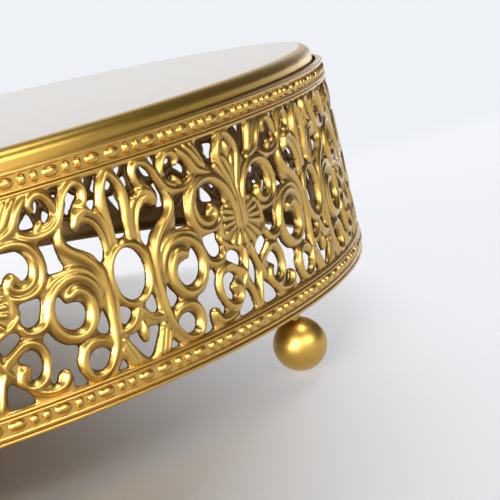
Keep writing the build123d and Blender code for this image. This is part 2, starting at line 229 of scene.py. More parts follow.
# %% Strands of the drawing
# Crest lines of the raised strands: each point is (place, height, half width).
STRANDS = [
    # ring of the oval, its drop with the leaf above it, and the hook beside them
    [(0, 31.6, 0.95), (2.6, 30.7, 0.95), (4.4, 28.4, 0.95), (5, 25.1, 0.95), (4.4, 21.8, 0.95),
     (2.6, 19.5, 0.95), (0, 18.6, 0.95)],
    [(0, 14.2, 0.55), (0, 12.6, 1), (0, 10.9, 0.75)],
    [(0, 18, 0.6), (0, 15.9, 0.45)],
    [(0.7, 17.3, 0.6), (1.5, 15.8, 0.7), (2.9, 14.6, 0.75), (4.6, 14.1, 0.7), (6, 14.2, 0.5)],
    # lance leaf
    [(0, 47.2, 0.9), (0.9, 46.3, 1), (1.9, 44.8, 1.15), (2.6, 43, 1.25), (2.8, 41, 1.25),
     (2.65, 39, 1.1), (2.25, 36.5, 0.85), (2.05, 34, 0.7), (1.95, 32.3, 0.6)],
    # acanthus leaf: two ribs that fold over into one tip
    [(3.1, 32.3, 0.55), (3.1, 34.3, 0.6), (3.4, 36.6, 0.7), (4.2, 38.7, 0.85), (5.6, 40.3, 1),
     (7.4, 41, 1.15), (9.2, 40.6, 1.25), (10.4, 39.4, 1.1), (10.9, 38.2, 0.8)],
    [(4.2, 31.2, 0.6), (4.4, 33.5, 0.65), (4.95, 35.9, 0.7), (5.9, 37.8, 0.7), (7.3, 39.1, 0.7),
     (8.8, 39.4, 0.75), (10.2, 38.7, 0.8)],
    # crook that runs on as the arm under the snail
    [(8.5, 42.3, 0.7), (7.3, 42.6, 0.9), (6.6, 44, 1), (6.7, 45.9, 1), (7.8, 47, 1), (9.3, 46.9, 1),
     (10.8, 45.7, 1), (12.1, 43.9, 1), (13.1, 42, 1.05), (14.1, 40.4, 1), (15.4, 39.4, 0.9),
     (17.2, 38.75, 0.85), (19.5, 38.6, 0.8), (21.5, 39.1, 0.75), (23.2, 40, 0.6)],
    # tall leaf-shaped stem down past the oval to the round loop
    [(13.8, 39.3, 0.5), (14.5, 38.2, 0.9), (14.75, 36.8, 1.1), (14.3, 35.2, 1.3), (13, 33.8, 1.35),
     (11.2, 32.6, 1.35), (9.6, 31.1, 1.3), (8.3, 29.5, 1.2), (7.4, 27.6, 1.1), (6.9, 25.4, 1.05),
     (6.7, 23, 1), (6.7, 20.5, 1), (6.9, 18, 1), (7.1, 15.5, 0.95), (7.5, 13, 0.9), (8.2, 11, 0.9),
     (9.4, 9.2, 0.95), (11, 7.7, 1), (13, 7, 1), (14.8, 7.4, 1.1), (15.9, 9, 1.25), (16.1, 11, 1.3),
     (15.5, 12.9, 1.25), (14.2, 14.1, 1.1), (12.6, 14.4, 1), (11, 14.2, 0.9), (9.6, 13.6, 0.8),
     (8.9, 12.9, 0.6)],
    [(5.6, 23, 0.3), (5.2, 21, 0.5), (5.25, 18.5, 0.5), (5.6, 16, 0.45), (6.1, 13.8, 0.4)],
    # great scroll and the rib over it
    [(8.5, 22.9, 0.5), (8.9, 24.5, 0.75), (9.8, 26.3, 0.9), (11.4, 27.8, 1), (13.5, 28.6, 1.05),
     (15.8, 28.5, 1.1), (18, 27.5, 1.15), (19.8, 25.7, 1.2), (20.7, 23.3, 1.25), (20.6, 20.8, 1.25),
     (19.5, 18.4, 1.3), (17.4, 16.7, 1.3), (15, 16.3, 1.3), (12.8, 17.2, 1.35), (11.3, 19, 1.4),
     (10.9, 21.2, 1.35), (11.2, 23.4, 1.25), (12.4, 25.1, 1.2), (14, 25.7, 1.25), (15.6, 25, 1.2)],
    [(7.7, 23.4, 0.4), (8, 25.3, 0.55), (9.1, 27.5, 0.65), (11, 29.2, 0.75), (13.5, 30, 0.8),
     (16, 29.8, 0.75), (18.3, 29.1, 0.7), (20, 27.9, 0.5)],
    # snail and its small leaf
    [(14, 42.8, 0.5), (14.5, 44.3, 0.85), (15.4, 46, 0.95), (17, 47, 1), (18.6, 46.7, 0.9),
     (19.5, 45.5, 0.8), (19.4, 44.3, 0.65), (18.7, 43.8, 0.55)],
    [(15, 41.4, 0.5), (16.2, 40.5, 0.6), (17.6, 39.9, 0.5)],
    [(17.3, 41.6, 0.4), (18.3, 40.9, 0.65), (19.3, 39.8, 0.4)],
    # spray of three leaves
    [(20.2, 47, 0.6), (21.5, 45.9, 1), (22.8, 44.3, 1.15), (23.8, 42.6, 1.1), (25, 41.4, 0.95),
     (26.8, 40.6, 0.8), (28.8, 40, 0.65)],
    [(22.7, 47.2, 0.65), (24.1, 45.8, 0.9), (25.3, 44, 0.95), (26.3, 42.6, 0.85),
     (27.6, 41.6, 0.6)],
    [(24.8, 47.1, 0.6), (26, 45.4, 0.7), (26.9, 43.4, 0.6), (27.7, 42.1, 0.4)],
    # volute: outer strand from the shell's hub, and the inner one with its knob
    [(34.6, 26.2, 0.5), (34.75, 29, 0.7), (34.3, 31.9, 0.95), (33.1, 34.8, 1.1), (31.2, 37, 1.2),
     (28.8, 38.5, 1.15), (26.2, 38.9, 1.1), (23.8, 38.5, 1.1), (21.8, 37.2, 1.15),
     (20.5, 35.2, 1.1), (20, 32.8, 1.05), (20.4, 30.6, 0.95), (21.6, 28.8, 0.95),
     (23.4, 27.8, 0.95), (25.6, 27.5, 0.9), (27.4, 27.9, 0.75), (28.6, 28.8, 0.5)],
    [(23, 36.4, 0.4), (22, 34.8, 0.6), (21.7, 33, 0.7), (22.1, 31.2, 0.75), (23.2, 29.9, 0.85),
     (24.9, 29.3, 0.85), (26.6, 29.6, 0.9), (27.7, 30.7, 1), (27.4, 32, 1), (26.5, 32.3, 0.85),
     (25.7, 31.5, 0.65)],
    # lily: outer petal, its lower edge, bud, leaflet and the rib on the axis
    [(36.25, 47.3, 0.8), (35.2, 46.8, 0.85), (33.9, 45.6, 0.9), (32.9, 43.8, 0.9),
     (32.75, 42, 0.85), (33.3, 40, 0.8), (34.3, 38, 0.75), (35.1, 36, 0.7), (35.55, 33.8, 0.7),
     (35.65, 31, 0.7), (35.55, 28.5, 0.62), (35.45, 26.1, 0.55)],
    [(31.3, 40.9, 0.5), (32.3, 39.2, 0.55), (33.5, 37.1, 0.5), (34.5, 34.8, 0.4)],
    [(36.25, 45, 0.6), (36.25, 43.7, 0.95), (36.25, 42.5, 0.7)],
    [(34.1, 42.2, 0.45), (35, 41.3, 0.6), (35.6, 39.8, 0.62), (35.95, 37.8, 0.5),
     (36.2, 35.8, 0.3)],
    # rim of the shell, with its scallops and the two beads on its shoulder
    [(28.8, 29.7, 0.55), (28.4, 28.2, 0.6), (28.4, 26.2, 0.6), (28.6, 24.7, 0.5)],
    [(27.6, 24.4, 0.5), (29.1, 23.1, 0.65), (30.7, 22.1, 0.6), (32.4, 21.5, 0.45)],
    [(32.5, 21.3, 0.4), (34.2, 21, 0.45), (36.25, 21.1, 0.4)],
    [(29.8, 30.3, 0.6), (30.7, 30.7, 0.6)],
    [(31.8, 31.2, 0.55), (32.7, 31.7, 0.5)],
    # link from the great scroll to the shell
    [(21.6, 22.4, 0.6), (22.3, 21, 0.75), (23.8, 20.3, 0.85), (25.6, 20.2, 0.85), (27, 20.8, 0.85),
     (27.7, 22.1, 0.7)],
    # lower curl and its inner rib
    [(33, 15.6, 0.7), (31.5, 17, 0.8), (29.8, 18.1, 0.85), (27.9, 18.7, 0.9), (26, 18.4, 0.95),
     (24.5, 17.2, 0.95), (23.9, 15.4, 0.9), (23.85, 13.4, 0.9), (24.4, 11.5, 0.9),
     (25.6, 10.1, 0.95), (27.5, 9.4, 1), (29.2, 9.7, 1.05), (30.2, 10.8, 1.05), (30.3, 12.3, 1),
     (29.5, 13.5, 0.9), (28.6, 13.6, 0.75)],
    [(32.2, 15.3, 0.45), (30.6, 16.4, 0.5), (28.9, 17.3, 0.5), (27.3, 17.6, 0.4)],
    # crossed stems under the shell, and the hook at their foot
    [(34.75, 20.3, 0.7), (34.6, 18.3, 0.8), (33.9, 16.2, 0.85), (32.9, 14.4, 0.85),
     (31.8, 12.9, 0.6)],
    [(33.4, 13.6, 0.5), (34.2, 12.2, 0.65), (34.9, 10, 0.7), (35.5, 8, 0.65), (35.9, 6.7, 0.5)],
    [(29.4, 9.3, 0.5), (27.4, 8.3, 0.75), (25.4, 7.6, 0.85), (23.3, 7.4, 0.85), (21.6, 7.9, 0.95),
     (20.6, 9, 1), (20.4, 9.9, 0.85)],
    # fan
    [(2.5, 6.7, 0.5), (3.6, 9.4, 0.5), (4.5, 11.2, 0.45)],
    [(3.75, 6.7, 0.5), (5, 9.5, 0.5), (5.6, 11.1, 0.45)],
    [(5, 6.7, 0.5), (6, 8.9, 0.5), (6.5, 10.3, 0.45)],
    [(5, 12.1, 0.5), (6, 12.2, 0.5)],
]
# flutes of the shell, fanned out from its hub: start, end, half width
FLUTES = [((36.25, 24.6), (36.25, 21.9), 0.7), ((34.9, 24.7), (33.5, 22.0), 0.78),
          ((33.9, 25.4), (31.3, 22.9), 0.78), ((33.5, 26.3), (29.9, 25.4), 0.72),
          ((33.4, 27.3), (29.7, 27.2), 0.72), ((33.6, 28.3), (30.2, 28.9), 0.68),
          ((33.8, 29.3), (31.4, 30.3), 0.62)]
STRANDS += [[(*start, 0.5 * width), (*np.mean([start, end], 0), 0.85 * width), (*end, width)]
            for start, end, width in FLUTES]
print(len(STRANDS), "strands drawn in a half repeat")

# %% [markdown]
# ## Smooth curves through drawn points
#
# A smooth curve through a few points is worked out with the centripetal
# interpolation that drawing programs use: it passes through every point and
# never loops between two that are close together.

# %% Curve helper
def curve_through(points, closed, step=0.3):
    """Closely spaced places along a smooth curve through the points."""
    p = np.asarray(points, float)
    if closed:
        p = np.vstack([p[-1:], p, p[:2]])
    else:
        p = np.vstack([2 * p[0] - p[1], p, 2 * p[-1] - p[-2]])
    run = []
    for a, b, c, d in zip(p, p[1:], p[2:], p[3:]):
        knots = np.cumsum([0.0] + [sqrt(np.linalg.norm(v)) for v in (b - a, c - b, d - c)])
        ta, tb, tc, td = knots
        n = max(2, int(np.ceil(np.linalg.norm(c - b) / step)))
        t = (tb + (tc - tb) * np.arange(n) / n)[:, None]

        def between(u, v, t0, t1):
            return u * (t1 - t) / (t1 - t0) + v * (t - t0) / (t1 - t0)

        ab, bc, cd = between(a, b, ta, tb), between(b, c, tb, tc), between(c, d, tc, td)
        run.append(between(between(ab, bc, ta, tc), between(bc, cd, tb, td), tb, tc))
    run = np.vstack(run)
    return run if closed else np.vstack([run, p[-2:-1]])


def mirrored(points):
    """A half outline and its mirror image as one closed run."""
    return points + [(-s, z) for s, z in reversed(points) if s > 0]


OVAL_PLACES = 72
turn_by = np.linspace(0, tau, OVAL_PLACES, endpoint=False)
outlines = [np.stack([OVAL_HALF_WIDTH * np.cos(turn_by),
                      OVAL_MIDDLE + OVAL_HALF_HEIGHT * np.sin(turn_by)], -1)]
outlines += [curve_through(mirrored(half), True) for half in ON_OVAL_AXIS]
outlines += [curve_through(mirrored(half), True) + [DRAWN_HALF, 0] for half in ON_SHELL_AXIS]
outlines += [curve_through(points, True) for points in BETWEEN_AXES]
strands = [curve_through(points, False) for points in STRANDS]
print(sum(len(line) for line in outlines), "places along the outlines")

# %% [markdown]
# ## From drawing to relief
#
# A grid of points covers one half repeat. Each strand raises the grid points
# near its crest line to a round section, and where two strands meet the higher
# one wins, which leaves the sharp valleys of a cut die. Near an opening the
# sheet is rolled down to its low ground.

# %% Distances on the grid
CELL = 0.3  # in millimetres, as all of the drawing
COLUMNS = round(DRAWN_HALF / CELL)
FROM, TO = 5.35, 48.65  # between the two ridges on the inner side of each border
ROWS = round((TO - FROM) / CELL)
half_s = np.linspace(0, DRAWN_HALF, COLUMNS + 1)
grid_z = np.linspace(FROM, TO, ROWS + 1)
S, Z = np.meshgrid(half_s, grid_z, indexing="ij")
spots = np.stack([S.ravel(), Z.ravel()], -1)
print(COLUMNS, "by", ROWS, "cells to a half repeat")


def nearest_on(line, spots):
    """Distance to a closed polyline and the nearest place on it, for each spot."""
    best, place = np.full(len(spots), np.inf), np.zeros((len(spots), 2))
    for a, b in zip(line, np.roll(line, -1, 0)):
        ab = b - a
        along = np.clip((spots - a) @ ab / (ab @ ab + 1e-12), 0, 1)
        q = a + along[:, None] * ab
        d = np.linalg.norm(spots - q, axis=1)
        near = d < best
        best[near], place[near] = d[near], q[near]
    return best, place


def is_inside(line, spots):
    """Even-odd test of which spots a closed polyline goes round."""
    x, y = spots.T
    inside = np.zeros(len(spots), bool)
    for (x0, y0), (x1, y1) in zip(line, np.roll(line, -1, 0)):
        if y0 != y1:
            inside ^= ((y0 > y) != (y1 > y)) & (x < (x1 - x0) * (y - y0) / (y1 - y0) + x0)
    return inside


def copies(line):
    """A line with its mirror images in both axes of the half repeat."""
    flip, shift = np.ones(line.shape[1]), np.zeros(line.shape[1])
    flip[0], shift[0] = -1, 2 * DRAWN_HALF
    return line, line * flip, line * flip + shift


def close_to(line, reach):
    """Which spots lie in a line's box or within reach of it."""
    return ((spots > line.min(0) - reach) & (spots < line.max(0) + reach)).all(1)


# %% Gaps to the openings
EDGE_REACH = 3  # farther off than this no edge is felt
edge_gap = np.full(len(spots), 9.0)  # below zero inside an opening
edge_spot = np.zeros((len(spots), 2))
for line in outlines:
    for image in copies(line):
        close = close_to(image, EDGE_REACH)
        if not close.any():
            continue
        d, place = nearest_on(image, spots[close])
        gap = np.where(is_inside(image, spots[close]), -d, d)
        nearer = np.abs(gap) < np.abs(edge_gap[close])
        where = np.flatnonzero(close)[nearer]
        edge_gap[where], edge_spot[where] = gap[nearer], place[nearer]

print(f"{(edge_gap < 0).mean():.2f} of the openwork is open")

# %% Rise of the strands
STRAND_REACH = 1.6  # no strand is wider than this to either side
LEAST_RISE, RISE_BY_WIDTH = 0.46, 0.72
FULLNESS = 0.72  # power of the round section, fuller when lower
strand_rise = np.zeros(len(spots))
for line in strands:
    for image in copies(line):
        close = close_to(image[:, :2], STRAND_REACH)
        if not close.any():
            continue
        here, top = spots[close], strand_rise[close]
        for a, b in zip(image, image[1:]):
            ab = b[:2] - a[:2]
            along = np.clip((here - a[:2]) @ ab / (ab @ ab + 1e-12), 0, 1)
            away = np.linalg.norm(here - a[:2] - along[:, None] * ab, axis=1)
            half_width = a[2] + along * (b[2] - a[2])
            round_part = np.clip(1 - (away / half_width) ** 2, 0, 1) ** FULLNESS
            top = np.maximum(top, (LEAST_RISE + RISE_BY_WIDTH * half_width) * round_part)
        strand_rise[close] = top
print(f"strands rise up to {strand_rise.max():.2f} mm before they are trimmed")

# %% Relief heights
def moulding(gap, width):
    """Rounded rise from 0 at gap 0 to 1 at the given width."""
    t = np.clip(gap / width, 0, 1)
    return (1 - (1 - t) ** 2) ** 0.75


GROUND, GROUND_ROLL = 0.42, 1.6  # height between strands, width of its rolled edge
EDGE_RISE, EDGE_ROLL = 1.5, 1.1  # the most a strand may rise beside an opening
RIDGE_SIDE = 0.55  # where the border ridges let the relief begin
RIDGE_FOOT, RIDGE_RISE, RIDGE_ROLL = 0.35, 0.9, 0.8  # the relief sinks towards them
SWELLS = [(27, 6, 6, 0.12),  # shell: height, half width, half height, gain
          (39, 3, 9, 0.2)]  # lily
HIGHEST = 1.43  # just under the crest, 1.45 above the web

border_gap = np.minimum(spots[:, 1] - FROM - RIDGE_SIDE, TO - RIDGE_SIDE - spots[:, 1])
relief = np.maximum(strand_rise, GROUND * moulding(edge_gap, GROUND_ROLL))
relief = np.minimum(relief, EDGE_RISE * moulding(edge_gap, EDGE_ROLL))
relief = np.minimum(relief, RIDGE_FOOT + RIDGE_RISE * moulding(border_gap, RIDGE_ROLL))
swelling = 1
for height, half_width, half_height, gain in SWELLS:
    away = np.hypot((spots[:, 0] - DRAWN_HALF) / half_width, (spots[:, 1] - height) / half_height)
    swelling = swelling + gain * np.exp(-away ** 2)
relief = np.clip(relief * swelling, 0, HIGHEST).reshape(S.shape)


def soften(field, spread):
    """Gaussian blur over the grid, with mirror images beyond its sides."""
    reach = int(3 * spread) + 1
    weights = np.exp(-0.5 * (np.arange(-reach, reach + 1) / spread) ** 2)
    weights /= weights.sum()
    for axis in (0, 1):
        pad = [(0, 0), (0, 0)]
        pad[axis] = (reach, reach)
        wide = np.pad(field, pad, mode="reflect")
        n = field.shape[axis]
        field = sum(w * np.take(wide, range(k, k + n), axis) for k, w in enumerate(weights))
    return field


DIE_WEAR = 0.8  # spreads are in cells of the grid
SHADE_SPREAD, SHADE_DEPTH = 2.6, 0.42
CUT_SHADE, CUT_WIDTH = 0.35, 0.5  # painted shade along the cut edges
relief = soften(relief, DIE_WEAR)
# painted shade: a place darkens by how far it lies below its surroundings, and along the cut edges
painted_shade = NO_SHADE + (soften(relief, SHADE_SPREAD) - relief) / SHADE_DEPTH
painted_shade = painted_shade + CUT_SHADE * (1 - moulding(edge_gap, CUT_WIDTH).reshape(S.shape))
painted_shade = np.clip(painted_shade, 0, 1)
print(f"relief from {relief.min():.2f} to {relief.max():.2f} mm")

# %% [markdown]
# ## Cutting the sheet to its openings
#
# A square grid would leave stair-stepped edges, so each grid point within half a
# cell of an outline is slid onto it. What then lies inside an opening is dropped,
# the cut edge is closed with a wall to the back, and the back follows the front
# more softly, as the hollow side of a stamping does.

# %% Build one repeat of the openwork
def both_halves(field, sign=1):
    """A field on the half grid carried over to the whole repeat by mirroring."""
    other = field[:0:-1] if sign == 1 else -field[:0:-1]
    return np.concatenate([other, field], 0)


gap = edge_gap.reshape(S.shape)
slid = np.stack([S, Z], -1)
snap = np.abs(gap) < 0.5 * CELL
target = edge_spot.reshape(S.shape + (2,))
slid[snap] = target[snap]
slid[0, :, 0], slid[-1, :, 0] = 0, DRAWN_HALF  # both axes stay straight
slid[:, 0, 1], slid[:, -1, 1] = FROM, TO
solid = both_halves((gap > 0) | snap)
on_edge = both_halves(snap)
s_all = both_halves(slid[..., 0], -1)
z_all = both_halves(slid[..., 1])
lift = both_halves(relief)
lift[on_edge] = 0.0
shade = both_halves(painted_shade)
BACK_SHARE, BACK_SPREAD, BACK_HIGHEST = 0.75, 1.2, 0.7
back_relief = np.clip(BACK_SHARE * soften(relief, BACK_SPREAD), 0, BACK_HIGHEST)
back_lift = both_halves(back_relief)
print(f"{solid.mean():.2f} of the grid points are kept")

# %% Faces of the front

wide, tall = solid.shape
number = np.arange(wide * tall).reshape(wide, tall)
quads = np.stack([number[:-1, :-1], number[1:, :-1], number[1:, 1:], number[:-1, 1:]], -1)
quads = quads.reshape(-1, 4)
kept = solid.ravel()[quads]
faces = [tuple(q) for q in quads[kept.all(1)]]
for quad, keep in zip(quads[kept.sum(1) == 3], kept[kept.sum(1) == 3]):
    faces.append(tuple(quad[keep]))
print(len(faces), "faces on the front")


# %% Back and cut edges
def on_hoop(s, z, radius):
    """Place on the hoop of a drawn place, for the repeat on the front axis."""
    angle = s / DRAWN_HALF * HALF
    return np.stack([radius * np.sin(angle), -radius * np.cos(angle), RING_FOOT + z * MM], -1)


SHEET_BACK = WEB - 0.8 * MM  # the back, before it follows the front
front = on_hoop(s_all, z_all, WEB + lift * MM).reshape(-1, 3)
behind = on_hoop(s_all, z_all, SHEET_BACK + back_lift * MM).reshape(-1, 3)
count = len(front)

edges = {}
for face in faces:
    for a, b in zip(face, face[1:] + face[:1]):
        if edges.pop((b, a), None) is None:
            edges[(a, b)] = face
ends = {0, wide - 1}
walls = []
for a, b in edges:
    at_side = a // tall == b // tall and a // tall in ends
    at_border = a % tall == b % tall and a % tall in (0, tall - 1)
    if not (at_side or at_border):
        walls.append((b, a, a + 2 * count, b + 2 * count))
backs = [tuple(v + count for v in face[::-1]) for face in faces]
points = np.vstack([front, behind, behind])
polygons = faces + backs + walls

# leave out grid points that no face uses
used = np.zeros(len(points), bool)
for polygon in polygons:
    used[list(polygon)] = True
renumber = np.cumsum(used) - 1
polygons = [tuple(int(renumber[v]) for v in polygon) for polygon in polygons]
points = points[used]
print(len(points), "points,", len(polygons), "faces in one repeat")

# %% [markdown]
# ## Shading that runs on across the joints
#
# Thirteen copies of one repeat make the hoop. Normals averaged from each copy's
# own faces would break the light at the joints and at the cut edges. They are
# taken from the slopes of the height field instead, so they are the same on both
# sides of a joint, and along an edge they lean out into the opening, which gives
# the rolled-over edge that a punch leaves.

# %% Normals of the repeat
def slopes(field):
    """Slopes of a half-grid field along the strip and up it, for the whole repeat."""
    along, upward = np.gradient(field, half_s[1], grid_z[1] - grid_z[0])
    along[0] = along[-1] = 0
    return both_halves(along, -1), both_halves(upward)


EDGE_BAND = 1.5  # the gap's slope is only needed this near an edge
EDGE_LEAN = 1.6  # how far an edge leans out into its opening
gap_along, gap_up = slopes(np.clip(gap, -EDGE_BAND, EDGE_BAND))
length = np.hypot(gap_along, gap_up) + 1e-9
gap_along, gap_up = gap_along / length, gap_up / length
rise_along, rise_up = slopes(relief)
rise_along[on_edge] = EDGE_LEAN * gap_along[on_edge]
rise_up[on_edge] = EDGE_LEAN * gap_up[on_edge]
back_along, back_up = slopes(back_relief)

angle = s_all / DRAWN_HALF * HALF
outward = np.stack([np.sin(angle), -np.cos(angle), 0 * angle], -1)
along = np.stack([np.cos(angle), np.sin(angle), 0 * angle], -1)
upward = np.array([0.0, 0.0, 1.0])


def leaning(base, lean_along, lean_up):
    """Unit vectors from a base direction and what it leans along and up the strip."""
    n = base - along * lean_along[..., None] - upward * lean_up[..., None]
    return (n / np.linalg.norm(n, axis=-1, keepdims=True)).reshape(-1, 3)


normals = np.vstack([leaning(outward, rise_along, rise_up),
                     leaning(-outward, -back_along, -back_up),
                     leaning(0 * outward, gap_along, gap_up)])[used]
print(len(normals), "normals")

# %% The hoop of repeats
repeat_mesh = bpy.data.meshes.new("openwork_repeat")
repeat_mesh.from_pydata(points.tolist(), [], polygons)
repeat_mesh.shade_smooth()
repeat_mesh.normals_split_custom_set_from_vertices(normals.tolist())
# painted shade: the front by its hollows and cut edges, the back and the cut walls in full
mark_painted_shade(repeat_mesh, np.concatenate([shade.ravel(), np.full(2 * count, FULL_SHADE)])[used])

openwork = []
for k in range(TURNS):
    repeat = put(f"openwork_{k + 1:02d}", repeat_mesh)
    repeat.matrix_world = Matrix.Rotation(FIRST + 2 * HALF * k, 4, "Z")
    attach(repeat, "root")
    openwork.append(repeat)
print(len(openwork), "repeats round the hoop")

# %% [markdown]
# ## Borders of the strip
#
# Above and below the openwork runs a narrow band with rounded ridges and a row
# of beads. The bands are spun from their section, as a roller would form them.
# The lowest ridge is flat, a third as high as it is wide, and the ones beside
# the beads stand up sharply, so that they catch the light as fine lines.

# %% Border bands
FACE = CREST - 0.85 * MM  # the borders' flat ground
RIDGE_STEPS, RIDGE_FULLNESS = 10, 0.8
# ridges: height, half width, how far they stand out, and how far their foot does
LOWER_RIDGES = [(1.5, 0.55, 0.4), (4.95, 0.38, 0.85), (5.7, 0.36, 0.62, 0.25)]
UPPER_RIDGES = [(48.3, 0.36, 0.62, 0.25), (49.06, 0.38, 0.85), (52.72, 0.48, 0.85)]
LOWER_TUCK, UPPER_TUCK = 6.08, 47.92  # heights at which the borders reach under the web
TUCK = 0.1 * MM
LOWER_BEVEL, UPPER_BEVEL = 0.15 * MM, 0.1 * MM
IN_BACK = BACK + 1e-6  # takes in every point of the inner face, which gets full painted shade


def up(z):
    """Height above the table of a drawn height."""
    return RING_FOOT + z * MM


def ridge(z, half_width, high, foot=0.0):
    """Profile points over a rounded ridge, from its lower edge to its upper one."""
    points = []
    for t in np.linspace(0, pi, RIDGE_STEPS + 1):
        swell = max(0.0, sin(t)) ** RIDGE_FULLNESS
        points.append((FACE + (foot + (high - foot) * swell) * MM, up(z - half_width * cos(t))))
    return points


strip_bottom, strip_top = band_low[2], band_high[2]
lower_profile = [(BACK, strip_bottom), (FACE - LOWER_BEVEL, strip_bottom)]
for sizes in LOWER_RIDGES:
    lower_profile += ridge(*sizes)
lower_profile += [(WEB - TUCK, up(LOWER_TUCK)), (BACK, up(FROM))]
lower_border = lathe("lower_border", lower_profile, inside=IN_BACK)

upper_profile = [(BACK, up(TO)), (WEB - TUCK, up(UPPER_TUCK))]
for sizes in UPPER_RIDGES:
    upper_profile += ridge(*sizes)
upper_profile += [(FACE - UPPER_BEVEL, strip_top), (BACK, strip_top)]
upper_border = lathe("upper_border", upper_profile, inside=IN_BACK)

# %% [markdown]
# ## Rows of beads
#
# Long and round beads alternate in both borders. Each is a small dome that
# flattens into the band at its foot, so that it reads as struck from the same
# sheet and not as a ball stuck onto it.

# %% Beads
# beads from an oval's axis (0) to a shell's (1): place, and 1 for a long one
BEADS = [(0.0697, 1), (0.1754, 0), (0.2523, 0), (0.3566, 1), (0.4623, 0), (0.5391, 0),
         (0.6434, 1), (0.7492, 0), (0.8260, 0), (0.9303, 1)]
LONG, ROUND, TALL = 1.85, 1.02, 1.2  # half lengths of the two kinds, and half height
BEAD_RISE = 0.85  # how far a bead stands out of the band
# rings of the dome from its foot up: size and height, each as a share of the whole
DOME = [(1.1, -0.06), (1.0, 0.12), (0.9, 0.45), (0.7, 0.76), (0.38, 0.95)]
SIDES = 16


def bead_row(name, z):
    """All beads of one border as a single piece."""
    turn_by = np.arange(SIDES) * tau / SIDES
    points, faces = [], []
    for k in range(TURNS):
        for sign in (1, -1):
            for place, is_long in BEADS:
                middle = FIRST + 2 * HALF * k + sign * HALF * place
                half = LONG if is_long else ROUND
                base = len(points)
                for size, high in DOME + [(0, 1.0)]:
                    radius = FACE + BEAD_RISE * high * MM
                    for t in turn_by[: SIDES if size else 1]:
                        angle = middle + size * half * cos(t) * MM / CREST
                        points.append((radius * sin(angle), -radius * cos(angle),
                                       up(z) + size * TALL * sin(t) * MM))
                for r in range(len(DOME) - 1):
                    for c in range(SIDES):
                        a, d = base + r * SIDES, (c + 1) % SIDES
                        faces.append((a + c, a + d, a + SIDES + d, a + SIDES + c))
                top = base + SIDES * (len(DOME) - 1)
                faces += [(top + c, top + (c + 1) % SIDES, top + SIDES) for c in range(SIDES)]
    print(name, len(faces), "faces")
    return new_piece(name, points, faces)


lower_beads = bead_row("lower_beads", z=3.45)
upper_beads = bead_row("upper_beads", z=50.8)

for piece in openwork + [lower_border, upper_border, lower_beads, upper_beads]:
    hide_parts("filigree_band")

# %% [markdown]
# ## Top and rolled rim
#
# The cake surface is a flat disc, and a strip rolled to a quarter round runs
# round it and down into the hoop. Its ends meet in a fine upright seam.

# %% Top disc
TOP = disc_high[2]
PLATE = 1 * MM  # thickness of the disc and of the rim's sheet
AXIS = 0.0001  # a profile stops just short of the stand's axis
disc_radius = disc_high[0]
disc_profile = [(AXIS, TOP - PLATE), (disc_radius, TOP - PLATE), (disc_radius, TOP), (AXIS, TOP)]
top_disc = lathe("cake_surface", disc_profile)
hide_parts("top_disc")

# %% Rolled rim
SHOULDER, SHOULDER_INSIDE = 2.8 * MM, 1.8 * MM  # radii of the rolled shoulder
LIP = 0.8 * MM  # height of the lip at the foot of the skirt
SEAM_AT, SEAM_HALF_GAP = radians(57.5), 0.12 * MM
rim_radius = disc_radius + SHOULDER
skirt_foot = rim_low[2]
seam_half = SEAM_HALF_GAP / rim_radius
shoulder_centre = (disc_radius, TOP - SHOULDER)
rim_profile = [(disc_radius, TOP - PLATE)]
rim_profile += arc(shoulder_centre, SHOULDER_INSIDE, 88, 0, steps=8)
rim_profile += [(rim_radius - PLATE, skirt_foot), (rim_high[0], skirt_foot),
                (rim_high[0], skirt_foot + LIP), (rim_radius, skirt_foot + LIP)]
rim_profile += arc(shoulder_centre, SHOULDER, 0, 90, steps=16)
rolled_rim = lathe("rolled_rim", rim_profile, around=480, start=SEAM_AT + seam_half,
                   sweep=tau - 2 * seam_half)
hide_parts("rim_strip")

# %% [markdown]
# ## Base ring, feet and studs
#
# A flat ring closes the hoop from below and carries the feet: balls drilled from
# the top, each on a short stud. The studs keep their solid's shape, and the ring
# and the balls are spun anew, because their round outline shows most.

# %% Base ring
RING_WIDTH = 10 * MM
EASED = 0.25 * MM  # radius of its outer edges
ring_out, ring_in = ring_high[0], ring_high[0] - RING_WIDTH
ring_profile = [(ring_in, ring_low[2]), (ring_out - 0.2 * MM, ring_low[2])]
ring_profile += arc((ring_out - EASED, ring_low[2] + EASED), EASED, -90, 0, steps=4)
ring_profile += arc((ring_out - EASED, ring_high[2] - EASED), EASED, 0, 90, steps=4)
ring_profile += [(ring_in, ring_high[2])]
base_ring = lathe("hoop_foot_ring", ring_profile, inside=ring_in + 1e-6)
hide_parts("base_ring")

# %% Ball feet
BORE, BORE_DEPTH = 1.55 * MM, 6 * MM  # radius of the hole, and its depth from the top
BORE_LIP = 0.1 * MM  # how far the hole's wall stops below the ball's skin
BALL_SIDES, BALL_STEPS = 72, 48
feet = []
for k in range(1, 4):
    low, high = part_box(f"foot_ball_{k}")
    centre = ((low[0] + high[0]) / 2, (low[1] + high[1]) / 2)
    radius = (high[0] - low[0]) / 2
    lip = atan2(sqrt(radius ** 2 - BORE ** 2), BORE)
    profile = [(BORE, radius - BORE_DEPTH), (BORE, radius * sin(lip) - BORE_LIP)]
    profile += [(radius * cos(t), radius * sin(t))
                for t in np.linspace(lip - 0.02, -pi / 2 + 0.02, BALL_STEPS)]
    points = [(r * cos(t), r * sin(t), radius + z)
              for t in np.arange(BALL_SIDES) * tau / BALL_SIDES for r, z in profile]
    n = len(profile)
    columns = [(c * n, (c + 1) % BALL_SIDES * n) for c in range(BALL_SIDES)]
    faces = [(a + j, a + j + 1, b + j + 1, b + j) for a, b in columns for j in range(n - 1)]
    faces += [tuple(a + n - 1 for a, b in columns), tuple(a for a, b in columns)[::-1]]
    foot = new_piece(f"ball_foot_{k}", [(x + centre[0], y + centre[1], z) for x, y, z in points],
                     faces)
    foot.data.set_sharp_from_angle(angle=radians(50))
    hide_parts(f"foot_ball_{k}")
    feet.append(foot)
